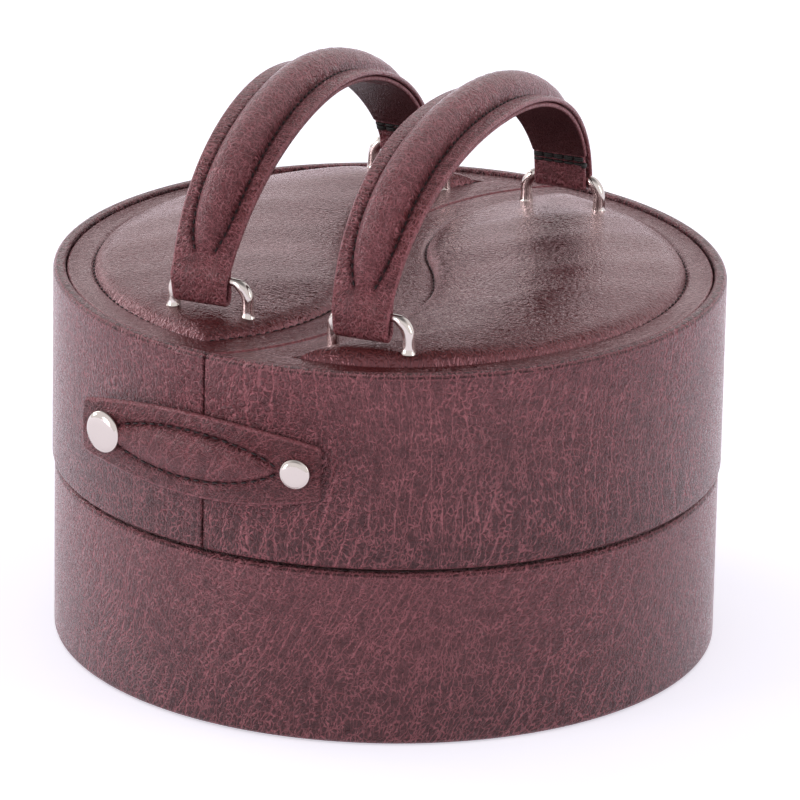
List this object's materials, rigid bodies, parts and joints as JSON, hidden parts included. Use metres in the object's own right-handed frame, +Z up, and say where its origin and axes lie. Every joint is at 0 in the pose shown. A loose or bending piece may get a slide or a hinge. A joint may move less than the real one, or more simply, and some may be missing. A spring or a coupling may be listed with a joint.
{
  "type": "round jewelry box",
  "caption": "Drum-shaped leather jewelry box: lower tray, S-split upper halves that swing out on a rear hinge, padded top, strap with press stud, padded handles.",
  "frame": {"origin": "middle of the underside, on the surface the box stands on", "axes": "+Z up, -Y towards the front seam and the strap, +X to the right half"},
  "size_m": [0.224, 0.2358, 0.194],
  "materials": {
    "burgundy_leather": "pebble-grained burgundy leather, satin",
    "smooth_burgundy_leather": "smoother, glossier burgundy leather over foam",
    "dark_leather": "dark red-brown lining leather, satin",
    "fibreboard": "plain fibreboard",
    "suede": "beige suede cloth on card",
    "foam": "soft foam",
    "polished_nickel": "polished nickel",
    "brass": "polished brass wire"
  },
  "bodies": {
    "base": {"base_leather_wrap": "burgundy_leather", "base_wall_board": "fibreboard", "base_floor_board": "fibreboard", "base_bottom_cover": "dark_leather", "base_lining": "suede", "base_dividers": "suede", "base_ring_pad": "suede", "hinge_base_leaf": "polished_nickel", "hinge_base_rivet_1": "polished_nickel", "hinge_base_rivet_2": "polished_nickel", "hinge_pin": "polished_nickel"},
    "left_half": {"left_leather_wrap": "burgundy_leather", "left_wall_board": "fibreboard", "left_floor_board": "fibreboard", "left_bottom_cover": "dark_leather", "left_lining": "suede", "left_kerb": "suede", "left_padded_panel": "smooth_burgundy_leather", "left_foam_pad": "foam", "left_top_board": "fibreboard", "left_handle": "burgundy_leather", "left_handle_lining": "dark_leather", "left_front_loop": "polished_nickel", "left_rear_loop": "polished_nickel", "left_front_loop_plate": "polished_nickel", "left_rear_loop_plate": "polished_nickel", "left_hinge_leaf": "polished_nickel", "left_hinge_rivet_1": "polished_nickel", "left_hinge_rivet_2": "polished_nickel", "left_shelf_unit": "suede", "snap_stud": "polished_nickel"},
    "right_half": {"right_leather_wrap": "burgundy_leather", "right_wall_board": "fibreboard", "right_floor_board": "fibreboard", "right_bottom_cover": "dark_leather", "right_lining": "suede", "right_kerb": "suede", "right_padded_panel": "smooth_burgundy_leather", "right_foam_pad": "foam", "right_top_board": "fibreboard", "right_handle": "burgundy_leather", "right_handle_lining": "dark_leather", "right_front_loop": "polished_nickel", "right_rear_loop": "polished_nickel", "right_front_loop_plate": "polished_nickel", "right_rear_loop_plate": "polished_nickel", "right_hinge_leaf": "polished_nickel", "right_hinge_rivet_1": "polished_nickel", "right_hinge_rivet_2": "polished_nickel", "right_hook_rail": "fibreboard", "right_chain_hooks": "brass", "right_chain_pocket": "suede", "strap_fixed_end": "burgundy_leather", "strap_rivet": "polished_nickel"},
    "strap": {"closure_strap": "burgundy_leather", "snap_cap": "polished_nickel", "snap_socket": "polished_nickel"}
  },
  "joints": [
    {"name": "left_swing", "type": "hinge", "parent": "base", "child": "left_half", "pos_m": [0, 0.116, 0.0609], "axis": [0, 0, -1], "range_deg": [0, 90]},
    {"name": "right_swing", "type": "hinge", "parent": "base", "child": "right_half", "pos_m": [0, 0.116, 0.0609], "axis": [0, 0, 1], "range_deg": [0, 90]},
    {"name": "strap_flap", "type": "hinge", "parent": "right_half", "child": "strap", "pos_m": [0.02809, -0.111, 0.0935], "axis": [0, 0, 1], "range_deg": [0, 95]}
  ]
}
